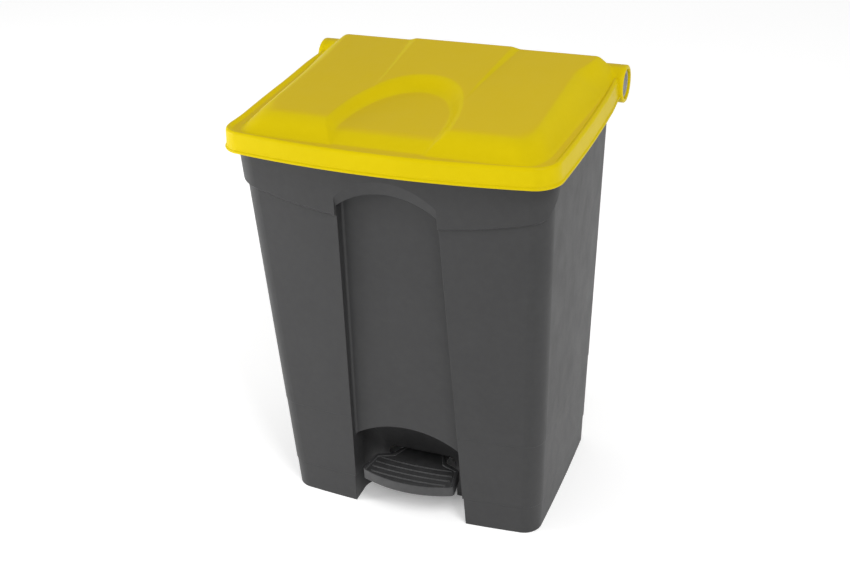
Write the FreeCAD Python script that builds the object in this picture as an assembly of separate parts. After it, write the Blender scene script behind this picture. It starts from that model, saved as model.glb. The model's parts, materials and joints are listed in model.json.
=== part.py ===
import FreeCAD, Part
import math
import os

# A 70 litre pedal bin: a moulded tub with a front foot niche, a hinged lid, and a pedal lever
# that lifts a push rod up the back of the tub to raise the lid.
# Millimetres. +X is to the right seen from the front, +Y to the back, +Z up.
# The origin is on the floor, under the centre of the bin's bounding box.

V = FreeCAD.Vector
X_AXIS, Y_AXIS, Z_AXIS = V(1, 0, 0), V(0, 1, 0), V(0, 0, 1)

# Overall size
WIDTH = 505.0
DEPTH = 410.0
HEIGHT = 675.0
WALL = 3.0

# Tub: outline at the floor, and how it grows with height (draft)
TUB_HALF_WIDTH = 210.4
TUB_SIDE_DRAFT = 0.0392
TUB_SIDE_BOW = 0.000123
TUB_FRONT_Y = -156.8
TUB_FRONT_DRAFT = 0.026
TUB_FRONT_BOW = 0.000279
TUB_REAR_Y = 136.0
TUB_REAR_DRAFT = 0.043
TUB_FRONT_RADIUS = 30.0
TUB_REAR_RADIUS = 25.0
TUB_TOP_Z = 633.0
PLINTH_TOP_Z = 51.0
PLINTH_INSET = 1.6
SEAM_Z = 169.0
SEAM_INSET = 0.6
FLOOR_Z = 88.0
RIM_FLANGE_Z = 622.0
RIM_FLANGE = 7.0

# Collar: the proud band under the lid, with an arch over the recess
COLLAR_PROUD = 5.2
COLLAR_EDGE_Z = 524.0
COLLAR_EDGE_RISE = 32.0
COLLAR_CHAMFER = 3.6
ARCH_RADIUS = 121.0
ARCH_CENTRE_Z = 448.0
ARCH_BEVEL_WIDTH = 19.0
ARCH_BEVEL_DEPTH = 5.5
ARCH_BEVEL_SIDE = 0.6

# Front recess between the two columns, and the foot niche under it
RECESS_HALF_WIDTH = 92.0
RECESS_TAPER = 0.030
PANEL_Y = -145.0
PANEL_DRAFT = 0.0135
NICHE_ARCH_RADIUS = 150.0
NICHE_TOP_Z = 159.0
NICHE_BACK_Y = -93.0
NICHE_CORNER = 26.0
NICHE_ARCH_CORNER = 8.0
RECESS_FILLET = 4.0
ARM_SLOT_HALF_WIDTH = 57.0
ARM_SLOT_TOP_Z = 77.0
ARM_SLOT_CORNER = 12.0

# A plane in front of the whole bin, where the front cutting tools start
AHEAD_Y = -260.0

# Hinge line at the back
HINGE_Y = 176.7
HINGE_Z = 624.7
BARREL_RADIUS = DEPTH / 2 - HINGE_Y
BARREL_HALF_LENGTH = 247.0
OUTER_BARREL_START = 202.0
KNUCKLE_START, KNUCKLE_END = 151.0, 200.5
INNER_BARREL_START, INNER_BARREL_END = 62.0, 149.5
KNUCKLE_RADIUS = 23.5
PIN_RADIUS = 12.0
PIN_HEAD_RADIUS = 22.0
PIN_HEAD_LENGTH = 9.0
PIN_BORE_RADIUS = 8.5
PIN_SOCKET_RADIUS = 17.0
RUNNING_FIT = 0.06
HINGE_CLEARANCE = 1.7

# Lid
LID_HALF_WIDTH = WIDTH / 2
LID_SIDE_BOW = 0.00017
LID_FRONT_Y = -DEPTH / 2
LID_FRONT_BOW = 0.000356
LID_CORNER_RADIUS = 39.0
LID_BOTTOM_Z = 611.0
LID_LIP_Z = 642.0
LEDGE_Z = 639.0
LEDGE_INSET = 8.0
PANEL_FRONT_Z = 660.0
RIDGE_Z = 671.0
RIDGE_Y = 160.0
PANEL_TOP_HALF_WIDTH = 203.0
PANEL_TOP_FRONT_Y = -146.0
PANEL_FOOT_HALF_WIDTH = 224.0
PANEL_FOOT_FRONT_Y = -176.0
PANEL_FOOT_REAR_HALF_WIDTH = 238.0
BAND_FRONT_HALF_WIDTH, BAND_FRONT_Y = 69.0, -42.0
BAND_REAR_HALF_WIDTH, BAND_FOOT_HALF_WIDTH = 75.0, 95.0
SCOOP_HALF_WIDTH = 75.0
SCOOP_APEX_Y = 18.0
SCOOP_MOUTH_Y = -148.0
SCOOP_FLOOR_Z = 650.0
SCOOP_POWER = 2.2

# Pedal lever
PIVOT_Y, PIVOT_Z = 2.0, 46.0
AXLE_RADIUS = 5.0
AXLE_HALF_LENGTH = 49.0
BUSH_RADIUS = 8.0
BRACKET_INNER_X = 40.0
BRACKET_THICKNESS = 3.0
BRACKET_TOP_Z = 70.0
BRACKET_SCREW_X = 50.0
BRACKET_HALF_LENGTH = 26.0
BRACKET_WIDTH = 22.0
BRACKET_BOSS_RADIUS = 7.0
BRACKET_EYE_RADIUS = 12.0
BRACKET_SCREW_Y = (PIVOT_Y - 16.0, PIVOT_Y + 16.0)
PEDAL_TOP_Z = 70.0
PEDAL_LIP = 16.8
TREAD_FRONT_Y = -171.5
TREAD_CORNER = (77.0, -156.0)
TREAD_REAR_CORNER = (71.0, -113.0)
TREAD_NECK = (46.0, -103.0)
ARM_START_Y = -85.0
TREAD_ROUNDING = 7.0
TREAD_RIM = 5.0
TREAD_SINK = 1.6
TREAD_RIB_WIDTH = 2.4
TREAD_RIB_BOW = 4.0
TREAD_RIB_Y = (-155.0, -143.0, -131.0, -119.0)
TREAD_RIB_HALF_LENGTH = (62.0, 65.5, 65.0, 60.0)
ARM_HALF_WIDTH = 36.0
ARM_REAR_Y = -60.0
ARM_BLOCK_HALF_WIDTH = 10.0
ARM_BLOCK_FRONT_Y = -104.0
BAR_THICKNESS = 4.0
BAR_RADIUS = 8.5
BAR_FRONT_Y, BAR_FRONT_Z = -88.0, 56.4
BAR_SCREW_Y = (-72.0, -88.0)
SLEEVE_RADIUS = 7.0
LIFT_PIN_RADIUS = 3.5
LIFT_PIN_HEAD_RADIUS = 5.5

# Push rod and its channel up the back
ROD_Y = 151.6
ROD_RADIUS = 4.0
ROD_GAP = 0.9
FOOT_GAP = 0.6
CAP_RADIUS, CAP_HEIGHT = 7.5, 16.0
CAP_CROWN = 5.0
FOOT_HEIGHT, FOOT_SOLE = 14.0, 4.0
CAP_ROUNDING = 1.5
LUG_RADIUS = 28.0
LUG_NOSE_RADIUS = 5.0
LUG_HALF_WIDTH = 8.0
LUG_SADDLE_HALF_WIDTH = 20.0
LUG_SADDLE_INNER_RADIUS = 14.0
LUG_SCREW_X = 14.0
LUG_SCREW_START = 15.0
LUG_SCREW_WAY = V(0, 1, 1).normalize()
LID_TRAVEL_DEG = 76.0
CHANNEL_HALF_WIDTH = 18.0
CHANNEL_Y = 142.5
CHANNEL_LIP_Z = 626.0
CHANNEL_LIP_GAP = 0.8
SPINE_HALF_WIDTH = 28.0
SPINE_Y = 163.0
SPINE_TOP_Z = 573.0
COVER_BOTTOM_Z, COVER_TOP_Z = 12.0, 565.0
COVER_SCREW_X = 23.0
COVER_SCREW_Z = (75.0, 235.0, 395.0, 550.0)
SCREW_DEPTH = 6.0
GUIDE_Z = (110.0, 530.0)
GUIDE_HEIGHT = 14.0
GUIDE_HALF_WIDTH = 15.0
GUIDE_FRONT_Y = 144.5
GUIDE_SCREW_X = 10.5
GUIDE_SCREW_Y = 152.0
SCREW_RADIUS = 2.0
SCREW_HEAD_RADIUS = 4.0
SCREW_HEAD_HEIGHT = 2.4

os.makedirs("parts", exist_ok=True)


# ---------------------------------------------------------------- shape helpers

def box(x0, x1, y0, y1, z0, z1):
    return Part.makeBox(x1 - x0, y1 - y0, z1 - z0, V(x0, y0, z0))


def cylinder_x(x0, x1, y, z, radius):
    return Part.makeCylinder(radius, x1 - x0, V(x0, y, z), X_AXIS)


def cylinder_z(x, y, z0, z1, radius):
    return Part.makeCylinder(radius, z1 - z0, V(x, y, z0), Z_AXIS)


def tube_x(x0, x1, y, z, outer, inner):
    return cylinder_x(x0, x1, y, z, outer).cut(cylinder_x(x0 - 1, x1 + 1, y, z, inner))


def polygon_face(points):
    return Part.Face(Part.makePolygon([*points, points[0]]))


def plate_yz(points, x0, x1):
    """A plate with the outline points (y, z), from x0 to x1."""
    return polygon_face([V(x0, y, z) for y, z in points]).extrude(V(x1 - x0, 0, 0))


def plate_xz(points, y0, y1):
    """A plate with the outline points (x, z), from y0 to y1."""
    return polygon_face([V(x, y0, z) for x, z in points]).extrude(V(0, y1 - y0, 0))


def fuse(first, *others):
    return first.multiFuse(list(others)).removeSplitter()


def mirror_x(shape):
    return shape.mirror(V(0, 0, 0), X_AXIS)


def both_sides(shape):
    return Part.makeCompound([shape, mirror_x(shape)])


def arc(a, b, c):
    return Part.Arc(a, b, c).toShape()


def line(a, b):
    return Part.LineSegment(a, b).toShape()


def save(shape, name):
    shape = shape.removeSplitter() if shape.ShapeType != "Compound" else shape
    assert shape.isValid(), name
    assert shape.Solids and all(s.isClosed() and s.Volume > 0 for s in shape.Solids), name
    shape.exportStep(f"parts/{name}.step")


def bowed_wire(z, half_width, side_bow, y_front, front_bow, y_rear, rear_narrowing=0.0):
    """A four-sided outline at height z: bowed front and sides, straight back."""
    x_corner = half_width
    for _ in range(8):
        y_corner = y_front + front_bow * x_corner ** 2
        x_corner = half_width - side_bow * y_corner ** 2
    x_rear = half_width - side_bow * y_rear ** 2 - rear_narrowing
    front_left, front_right = V(-x_corner, y_corner, z), V(x_corner, y_corner, z)
    rear_right, rear_left = V(x_rear, y_rear, z), V(-x_rear, y_rear, z)
    return Part.Wire([
        arc(front_left, V(0, y_front, z), front_right),
        arc(front_right, V(half_width, 0, z), rear_right),
        line(rear_right, rear_left),
        arc(rear_left, V(-half_width, 0, z), front_left),
    ])


def upright_edges(solid):
    return [e for e in solid.Edges if abs(e.Vertexes[0].Z - e.Vertexes[-1].Z) > 1]


def rounded_loft(lower, upper, front_radius, rear_radius):
    """A solid between two outlines, with its upright edges rounded."""
    solid = Part.makeLoft([lower, upper], True, True)
    front = [e for e in upright_edges(solid) if e.CenterOfMass.y < 0]
    solid = solid.makeFillet(front_radius, front)
    if rear_radius:
        rear_y = max(e.CenterOfMass.y for e in upright_edges(solid))
        rear = [e for e in upright_edges(solid) if e.CenterOfMass.y > rear_y - 1]
        solid = solid.makeFillet(rear_radius, rear)
    return solid


# ---------------------------------------------------------------- tub

def tub_loft(z0, z1, grow):
    """The tub's outline from z0 to z1, grown outwards by grow."""
    def outline(z):
        return bowed_wire(
            z,
            TUB_HALF_WIDTH + TUB_SIDE_DRAFT * z + grow,
            TUB_SIDE_BOW,
            TUB_FRONT_Y - TUB_FRONT_DRAFT * z - grow,
            TUB_FRONT_BOW,
            TUB_REAR_Y + TUB_REAR_DRAFT * z + grow,
        )
    return rounded_loft(outline(z0), outline(z1), TUB_FRONT_RADIUS + grow, TUB_REAR_RADIUS + grow)


def disc_xz(x, z, radius, y0, y1):
    return Part.makeCylinder(radius, y1 - y0, V(x, y0, z), Y_AXIS)


def recess_half_width(z):
    """Half the width between the two front columns, at height z."""
    return RECESS_HALF_WIDTH - RECESS_TAPER * z


def between_columns(z0, z1, grow):
    """The tapering space between the planes of the columns' inner sides."""
    half0, half1 = recess_half_width(z0) + grow, recess_half_width(z1) + grow
    return plate_xz([(-half0, z0), (half0, z0), (half1, z1), (-half1, z1)], AHEAD_Y, 0)


def recess_tool(grow):
    """The space in front of the recessed panel, up to the collar's arch."""
    top = ARCH_CENTRE_Z + ARCH_RADIUS + 10
    arch = disc_xz(0, ARCH_CENTRE_Z, ARCH_RADIUS + grow, AHEAD_Y, 0)
    below_arch = box(-150, 150, AHEAD_Y, 0, 0, ARCH_CENTRE_Z)
    prism = between_columns(0, top, grow).common(arch.fuse(below_arch))
    front_of_panel = plate_yz([
        (AHEAD_Y, 0),
        (PANEL_Y + grow, 0),
        (PANEL_Y - PANEL_DRAFT * RIM_FLANGE_Z + grow, RIM_FLANGE_Z),
        (AHEAD_Y, RIM_FLANGE_Z),
    ], -160, 160)
    tool = prism.common(front_of_panel)
    corners = [e for e in tool.Edges if e.Length > 200 and abs(e.CenterOfMass.y - tool.BoundBox.YMax) < 12]
    return tool.makeFillet(RECESS_FILLET, corners)


def niche_plan(z, grow):
    """The niche seen from above at height z: parallel sides and a back with round corners."""
    half = recess_half_width(z) + grow
    back, corner = NICHE_BACK_Y + grow, NICHE_CORNER + grow
    middle = corner * (1 - math.sqrt(0.5))
    return Part.Wire([
        line(V(-half, AHEAD_Y, z), V(half, AHEAD_Y, z)),
        line(V(half, AHEAD_Y, z), V(half, back - corner, z)),
        arc(V(half, back - corner, z), V(half - middle, back - middle, z), V(half - corner, back, z)),
        line(V(half - corner, back, z), V(corner - half, back, z)),
        arc(V(corner - half, back, z), V(middle - half, back - middle, z), V(-half, back - corner, z)),
        line(V(-half, back - corner, z), V(-half, AHEAD_Y, z)),
    ])


def niche_tool(grow):
    """The foot niche: an arch from the front, its back curving down to the arm slot."""
    bottom, top_z = -20, NICHE_TOP_Z + grow
    arch = disc_xz(0, NICHE_TOP_Z - NICHE_ARCH_RADIUS, NICHE_ARCH_RADIUS + grow, AHEAD_Y, 0)
    below_arch = box(-150, 150, AHEAD_Y, 0, bottom, PLINTH_TOP_Z)
    front_view = between_columns(bottom, top_z + 10, grow).common(arch.fuse(below_arch))
    arch_ends = [e for e in front_view.Edges if e.Length > 200 and e.CenterOfMass.z > PLINTH_TOP_Z]
    front_view = front_view.makeFillet(NICHE_ARCH_CORNER + grow, arch_ends)
    plan = Part.makeLoft([niche_plan(bottom, grow), niche_plan(top_z + 10, grow)], True, True)
    panel_here = PANEL_Y - PANEL_DRAFT * NICHE_TOP_Z
    back = NICHE_BACK_Y + grow
    shoulder = V(0, back, ARM_SLOT_TOP_Z + 8)
    top = V(0, panel_here, top_z)
    middle = V(0, (shoulder.y + top.y) / 2 + 9, (shoulder.z + top.z) / 2 + 9)
    side = Part.Wire([
        line(V(0, AHEAD_Y, bottom), V(0, back, bottom)),
        line(V(0, back, bottom), shoulder),
        arc(shoulder, middle, top),
        line(top, V(0, AHEAD_Y, top.z)),
        line(V(0, AHEAD_Y, top.z), V(0, AHEAD_Y, bottom)),
    ])
    vault = Part.Face(side)
    vault.translate(V(-160, 0, 0))
    tool = plan.common(front_view).common(vault.extrude(V(320, 0, 0)))
    step = grow + PLINTH_INSET
    foot = Part.makeLoft([niche_plan(bottom, step), niche_plan(PLINTH_TOP_Z, step)], True, True)
    return tool.fuse(foot)


def collar_front_y(x, z):
    """Where the front of the collar is, at x and height z."""
    return TUB_FRONT_Y - TUB_FRONT_DRAFT * z - COLLAR_PROUD + TUB_FRONT_BOW * x ** 2


def collar():
    """The proud band under the lid: it wraps round the corners and dies away up the sides."""
    band = tub_loft(COLLAR_EDGE_Z - 10, RIM_FLANGE_Z, COLLAR_PROUD)
    top, side = RIM_FLANGE_Z + 50, 300
    edge_end = V(side, AHEAD_Y, COLLAR_EDGE_Z + COLLAR_EDGE_RISE * 1.6)
    edge_start = V(-side, AHEAD_Y, edge_end.z)
    front_view = Part.Face(Part.Wire([
        arc(edge_start, V(0, AHEAD_Y, COLLAR_EDGE_Z - 2), edge_end),
        line(edge_end, V(side, AHEAD_Y, top)),
        line(V(side, AHEAD_Y, top), V(-side, AHEAD_Y, top)),
        line(V(-side, AHEAD_Y, top), edge_start),
    ])).extrude(V(0, 400, 0))
    fade_x, fade_low, fade_top = -280, 480, 625
    side_fade = Part.Face(Part.Wire([
        line(V(fade_x, AHEAD_Y, fade_low), V(fade_x, -176, fade_low)),
        arc(V(fade_x, -176, fade_low), V(fade_x, -146, 560), V(fade_x, -90, fade_top)),
        line(V(fade_x, -90, fade_top), V(fade_x, AHEAD_Y, fade_top)),
        line(V(fade_x, AHEAD_Y, fade_top), V(fade_x, AHEAD_Y, fade_low)),
    ])).extrude(V(-2 * fade_x, 0, 0))
    band = band.common(front_view).common(side_fade).Solids[0]
    band_top = band.BoundBox.ZMax
    lower_edge = [e for e in band.Edges
                  if e.BoundBox.ZMax < band_top - 30 and e.CenterOfMass.y < TUB_FRONT_Y + 30]
    return band.makeChamfer(COLLAR_CHAMFER, lower_edge)


def arch_bevel():
    """The shallow sloping band round the arch, cut back into the collar between the columns' planes."""
    ahead = 3
    slope = ARCH_BEVEL_WIDTH / ARCH_BEVEL_DEPTH
    front = V(0, collar_front_y(0, ARCH_CENTRE_Z + ARCH_RADIUS) - ahead, ARCH_CENTRE_Z)
    cone = Part.makeCone(ARCH_RADIUS + ARCH_BEVEL_WIDTH + ahead * slope, ARCH_RADIUS,
                         ARCH_BEVEL_DEPTH + ahead, front, Y_AXIS)
    return cone.common(between_columns(COLLAR_EDGE_Z, ARCH_CENTRE_Z + 2 * ARCH_RADIUS, ARCH_BEVEL_SIDE))


def rear_channel(grow):
    """The channel up the back that the push rod and the lid's lug run in."""
    half = CHANNEL_HALF_WIDTH + grow
    return box(-half, half, CHANNEL_Y - grow, 260, -20, 640)


def hinge_clearance(grow):
    """The room that the lid's barrel turns in, and everything above and behind it."""
    radius = BARREL_RADIUS + HINGE_CLEARANCE + grow
    return fuse(
        cylinder_x(-270, 270, HINGE_Y, HINGE_Z, radius),
        box(-270, 270, HINGE_Y - radius, 270, HINGE_Z, 700),
    )


def arm_slot():
    """The rounded opening at the back of the niche that the pedal's arm passes through."""
    corner, half, top = ARM_SLOT_CORNER, ARM_SLOT_HALF_WIDTH, ARM_SLOT_TOP_Z
    front, back = NICHE_BACK_Y - 20, NICHE_BACK_Y + 20
    return fuse(
        box(-half, half, front, back, -5, top - corner),
        box(corner - half, half - corner, front, back, -5, top),
        disc_xz(half - corner, top - corner, corner, front, back),
        disc_xz(corner - half, top - corner, corner, front, back),
    )


def hinge_knuckle(x0, x1):
    """One knuckle for a hinge pin, on a web from the tub's back wall."""
    clear = BARREL_RADIUS + HINGE_CLEARANCE + 1
    web = plate_yz([(HINGE_Y - clear, HINGE_Z - 4), (HINGE_Y - clear, HINGE_Z - clear),
                    (HINGE_Y - 15, HINGE_Z - clear + 2), (HINGE_Y - 6, HINGE_Z - 18),
                    (HINGE_Y - 20, HINGE_Z - 4)], x0, x1)
    return cylinder_x(x0, x1, HINGE_Y, HINGE_Z, KNUCKLE_RADIUS).fuse(web)


def build_tub():
    upper = tub_loft(SEAM_Z, TUB_TOP_Z, 0)
    lower = tub_loft(PLINTH_TOP_Z, SEAM_Z, -SEAM_INSET)
    plinth = tub_loft(0, PLINTH_TOP_Z, -PLINTH_INSET)
    spine = box(-SPINE_HALF_WIDTH, SPINE_HALF_WIDTH, 120, SPINE_Y, 0, SPINE_TOP_Z)
    flange = tub_loft(RIM_FLANGE_Z, RIM_FLANGE_Z + 4, RIM_FLANGE)
    outer = upper.multiFuse([lower, plinth, flange, collar(), spine])
    outer = outer.cut(hinge_clearance(0)).cut(recess_tool(0)).cut(arch_bevel())
    outer = outer.cut(niche_tool(0)).cut(rear_channel(0))

    room = tub_loft(FLOOR_Z, TUB_TOP_Z + 5, -WALL).cut(hinge_clearance(WALL))
    room = room.cut(recess_tool(WALL)).cut(niche_tool(WALL)).cut(rear_channel(WALL))
    under = tub_loft(-5, FLOOR_Z - WALL, -WALL - PLINTH_INSET)
    under = under.cut(niche_tool(WALL)).cut(rear_channel(WALL))
    lever_slot = box(-CHANNEL_HALF_WIDTH, CHANNEL_HALF_WIDTH, 110, CHANNEL_Y + 1, -5, 80)
    tub = outer.cut(room).cut(under).cut(arm_slot()).cut(lever_slot)

    for x0, x1 in ((KNUCKLE_START, KNUCKLE_END), (-KNUCKLE_END, -KNUCKLE_START)):
        tub = tub.fuse(hinge_knuckle(x0, x1))
        tub = tub.cut(cylinder_x(x0 - 1, x1 + 1, HINGE_Y, HINGE_Z, PIN_RADIUS))
    for x, y in BRACKET_SCREWS:
        tub = tub.fuse(cylinder_z(x, y, BRACKET_TOP_Z, FLOOR_Z - 1, BRACKET_BOSS_RADIUS))
        tub = tub.cut(cylinder_z(x, y, BRACKET_TOP_Z - 1, FLOOR_Z - WALL, SCREW_RADIUS))
    for x, z in COVER_SCREWS:
        tub = tub.cut(disc_xz(x, z, SCREW_RADIUS, SPINE_Y - SCREW_DEPTH, SPINE_Y + 1))
    return tub


# ---------------------------------------------------------------- lid

def panel_top_z(y):
    """Height of the lid's sloping top at y."""
    slope = (RIDGE_Z - PANEL_FRONT_Z) / (RIDGE_Y - PANEL_TOP_FRONT_Y)
    return PANEL_FRONT_Z + slope * (y - PANEL_TOP_FRONT_Y)


def skirt_loft(z0, z1, inset0, inset1):
    def outline(z, inset):
        return bowed_wire(z, LID_HALF_WIDTH - inset, LID_SIDE_BOW, LID_FRONT_Y + inset,
                          LID_FRONT_BOW, HINGE_Y)
    return rounded_loft(outline(z0, inset0), outline(z1, inset1), LID_CORNER_RADIUS - inset0, 0)


def panel_loft(inset, drop):
    """The raised panel, from its foot on the ledge to its sloping top."""
    foot_z = LEDGE_Z - 1 - drop
    foot_front = PANEL_FOOT_FRONT_Y + inset
    foot = Part.Wire([
        arc(V(-PANEL_FOOT_HALF_WIDTH + inset, foot_front + 8, foot_z), V(0, foot_front, foot_z),
            V(PANEL_FOOT_HALF_WIDTH - inset, foot_front + 8, foot_z)),
        line(V(PANEL_FOOT_HALF_WIDTH - inset, foot_front + 8, foot_z),
             V(PANEL_FOOT_REAR_HALF_WIDTH - inset, HINGE_Y - inset, foot_z)),
        line(V(PANEL_FOOT_REAR_HALF_WIDTH - inset, HINGE_Y - inset, foot_z),
             V(-PANEL_FOOT_REAR_HALF_WIDTH + inset, HINGE_Y - inset, foot_z)),
        line(V(-PANEL_FOOT_REAR_HALF_WIDTH + inset, HINGE_Y - inset, foot_z),
             V(-PANEL_FOOT_HALF_WIDTH + inset, foot_front + 8, foot_z)),
    ])
    half = PANEL_TOP_HALF_WIDTH - inset * 0.5
    front, rear = PANEL_TOP_FRONT_Y + inset * 0.5, RIDGE_Y - inset
    front_z, rear_z = panel_top_z(front) - drop, panel_top_z(rear) - drop
    middle = V(0, front - 4, panel_top_z(front - 4) - drop)
    top = Part.Wire([
        arc(V(-half, front, front_z), middle, V(half, front, front_z)),
        line(V(half, front, front_z), V(half, rear, rear_z)),
        line(V(half, rear, rear_z), V(-half, rear, rear_z)),
        line(V(-half, rear, rear_z), V(-half, front, front_z)),
    ])
    solid = Part.makeLoft([foot, top], True, True)
    corners = [e for e in solid.Edges
               if abs(e.Vertexes[0].Z - e.Vertexes[-1].Z) > 15 and e.CenterOfMass.y < 0]
    solid = solid.makeFillet(24 - inset, corners)
    return solid


def scoop_wire(z, grow):
    """The scoop's outline at height z: parallel sides that close in a rounded arch."""
    half = SCOOP_HALF_WIDTH + grow
    reach = SCOOP_APEX_Y + grow - SCOOP_MOUTH_Y
    steps = 12
    points = []
    for i in range(2 * steps + 1):
        angle = math.pi * i / (2 * steps)
        c, s = math.cos(angle), math.sin(angle)
        x = half * math.copysign(abs(c) ** (2 / SCOOP_POWER), c)
        points.append(V(x, SCOOP_MOUTH_Y + reach * abs(s) ** (2 / SCOOP_POWER), z))
    curve = Part.BSplineCurve()
    curve.interpolate(points)
    start, end = points[0], points[-1]
    front_right, front_left = V(half, -230, z), V(-half, -230, z)
    return Part.Wire([line(front_right, start), curve.toShape(), line(end, front_left),
                      line(front_left, front_right)])


def scoop_tool(sink):
    """The hand scoop at the front of the lid, sunk by sink for its underside."""
    lower, upper = scoop_wire(636 - sink, -14 + sink), scoop_wire(690 - sink, 38 + sink)
    walls = Part.makeLoft([lower, upper], True, True)
    floor = plate_yz([
        (-230, LEDGE_Z - sink), (PANEL_FOOT_FRONT_Y - 3, LEDGE_Z - sink),
        (SCOOP_MOUTH_Y, SCOOP_FLOOR_Z - sink), (60, SCOOP_FLOOR_Z + 3 - sink), (60, 700), (-230, 700),
    ], -140, 140)
    return walls.common(floor)


def centre_band(drop):
    """The broad rib from the scoop back to the ridge, full height at the back, none at the front."""
    front_z = panel_top_z(BAND_FRONT_Y) - drop
    crest_z, foot_z = HEIGHT - drop, RIDGE_Z - drop
    tail_y, tail_z = RIDGE_Y + 9, RIDGE_Z - 9 - drop
    crest = [V(s * BAND_REAR_HALF_WIDTH, RIDGE_Y, crest_z) for s in (1, -1)]
    foot = [V(s * BAND_FOOT_HALF_WIDTH, RIDGE_Y, foot_z) for s in (1, -1)]
    nose = [V(s * BAND_FRONT_HALF_WIDTH, BAND_FRONT_Y, front_z) for s in (1, -1)]
    low = [V(s * BAND_FOOT_HALF_WIDTH, RIDGE_Y, foot_z - 2) for s in (1, -1)]
    low_nose = [V(s * BAND_FRONT_HALF_WIDTH, BAND_FRONT_Y, front_z - 2) for s in (1, -1)]
    tail = [V(s * BAND_FOOT_HALF_WIDTH, tail_y, tail_z) for s in (1, -1)]
    faces = [
        [nose[0], nose[1], crest[1], crest[0]],
        [nose[0], crest[0], foot[0]], [nose[1], foot[1], crest[1]],
        [nose[0], foot[0], low[0], low_nose[0]], [nose[1], low_nose[1], low[1], foot[1]],
        [nose[0], low_nose[0], low_nose[1], nose[1]],
        [low_nose[0], low[0], low[1], low_nose[1]],
        [crest[0], crest[1], tail[1], tail[0]],
        [crest[0], tail[0], foot[0]], [crest[1], foot[1], tail[1]],
        [foot[0], tail[0], low[0]], [foot[1], low[1], tail[1]],
        [low[0], tail[0], tail[1], low[1]],
    ]
    shell = Part.makeShell([polygon_face(f) for f in faces])
    solid = Part.makeSolid(shell)
    return solid if solid.Volume > 0 else solid.reversed()


def barrel_skin():
    """The lid's rolled back edge: part of a tube, over the top of the hinge line."""
    length = BARREL_HALF_LENGTH
    ring = tube_x(-length, length, HINGE_Y, HINGE_Z, BARREL_RADIUS, BARREL_RADIUS - WALL)
    far = 60
    low = math.radians(-20)
    keep = plate_yz([(HINGE_Y, HINGE_Z), (HINGE_Y + far * math.cos(low), HINGE_Z + far * math.sin(low)),
                     (HINGE_Y + far, HINGE_Z + far), (HINGE_Y - far, HINGE_Z + far),
                     (HINGE_Y - far, HINGE_Z)],
                    -length - 1, length + 1)
    return ring.common(keep)


def barrel_segment(x0, x1, open_end):
    """One closed length of the lid's hinge barrel, cored from its inner end."""
    solid = cylinder_x(x0, x1, HINGE_Y, HINGE_Z, BARREL_RADIUS)
    solid = solid.cut(cylinder_x(x0 - 1, x1 + 1, HINGE_Y, HINGE_Z, PIN_RADIUS + RUNNING_FIT))
    core0, core1 = (x0 - 1, x1 - 14) if open_end == "low" else (x0 + 14, x1 + 1)
    return solid.cut(tube_x(core0, core1, HINGE_Y, HINGE_Z, BARREL_RADIUS - WALL, PIN_RADIUS + 3))


def channel_lip():
    """A small lip under the rolled edge that keeps rubbish out of the rod's channel."""
    half = CHANNEL_HALF_WIDTH - CHANNEL_LIP_GAP
    skin_y = HINGE_Y - BARREL_RADIUS
    return box(-half, half, CHANNEL_Y + CHANNEL_LIP_GAP, skin_y + 1.2, CHANNEL_LIP_Z, CHANNEL_LIP_Z + WALL)


def build_lid():
    skirt = skirt_loft(LID_BOTTOM_Z, LID_LIP_Z, 0, 2.5)
    top_edges = [e for e in skirt.Edges
                 if e.CenterOfMass.z > LID_LIP_Z - 0.5 and e.CenterOfMass.y < HINGE_Y - 5]
    skirt = skirt.makeFillet(4.5, top_edges)
    groove = skirt_loft(LEDGE_Z, LID_LIP_Z + 5, LEDGE_INSET, LEDGE_INSET - 1)
    panel = panel_loft(0, 0)
    top_edges = [e for e in panel.Edges
                 if e.CenterOfMass.z > PANEL_FRONT_Z - 1 and abs(e.CenterOfMass.y - RIDGE_Y) > 1]
    panel = panel.makeFillet(11, top_edges)
    outer = skirt.cut(groove).fuse(panel).fuse(centre_band(0)).cut(scoop_tool(0))

    hollow = skirt_loft(LID_BOTTOM_Z - 5, LEDGE_Z - WALL, WALL, WALL + 2.5)
    hollow_panel = panel_loft(WALL, WALL).cut(scoop_tool(WALL))
    hollow = hollow.fuse(hollow_panel)
    hinge_room = cylinder_x(-BARREL_HALF_LENGTH + 0.5, BARREL_HALF_LENGTH - 0.5, HINGE_Y, HINGE_Z,
                            BARREL_RADIUS - WALL)
    lid = outer.cut(hollow).cut(hinge_room).fuse(barrel_skin())
    rear_gap = box(-INNER_BARREL_START + 1, INNER_BARREL_START - 1, 100, HINGE_Y,
                   LID_BOTTOM_Z - 10, HINGE_Z)
    lid = lid.cut(rear_gap).fuse(channel_lip())
    for side in (1, -1):
        for x0, x1 in ((OUTER_BARREL_START, BARREL_HALF_LENGTH), (INNER_BARREL_START, INNER_BARREL_END)):
            if side > 0:
                segment = barrel_segment(x0, x1, "low")
            else:
                segment = barrel_segment(-x1, -x0, "high")
            lid = lid.fuse(segment)
        end = side * BARREL_HALF_LENGTH
        a, b = sorted((end + side, end - side * (PIN_HEAD_LENGTH + 0.6)))
        lid = lid.cut(cylinder_x(a, b, HINGE_Y, HINGE_Z, PIN_HEAD_RADIUS + 0.4))
    return lid.cut(lug_screw_holes())


# ---------------------------------------------------------------- hinge pins and lifting lug

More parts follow.
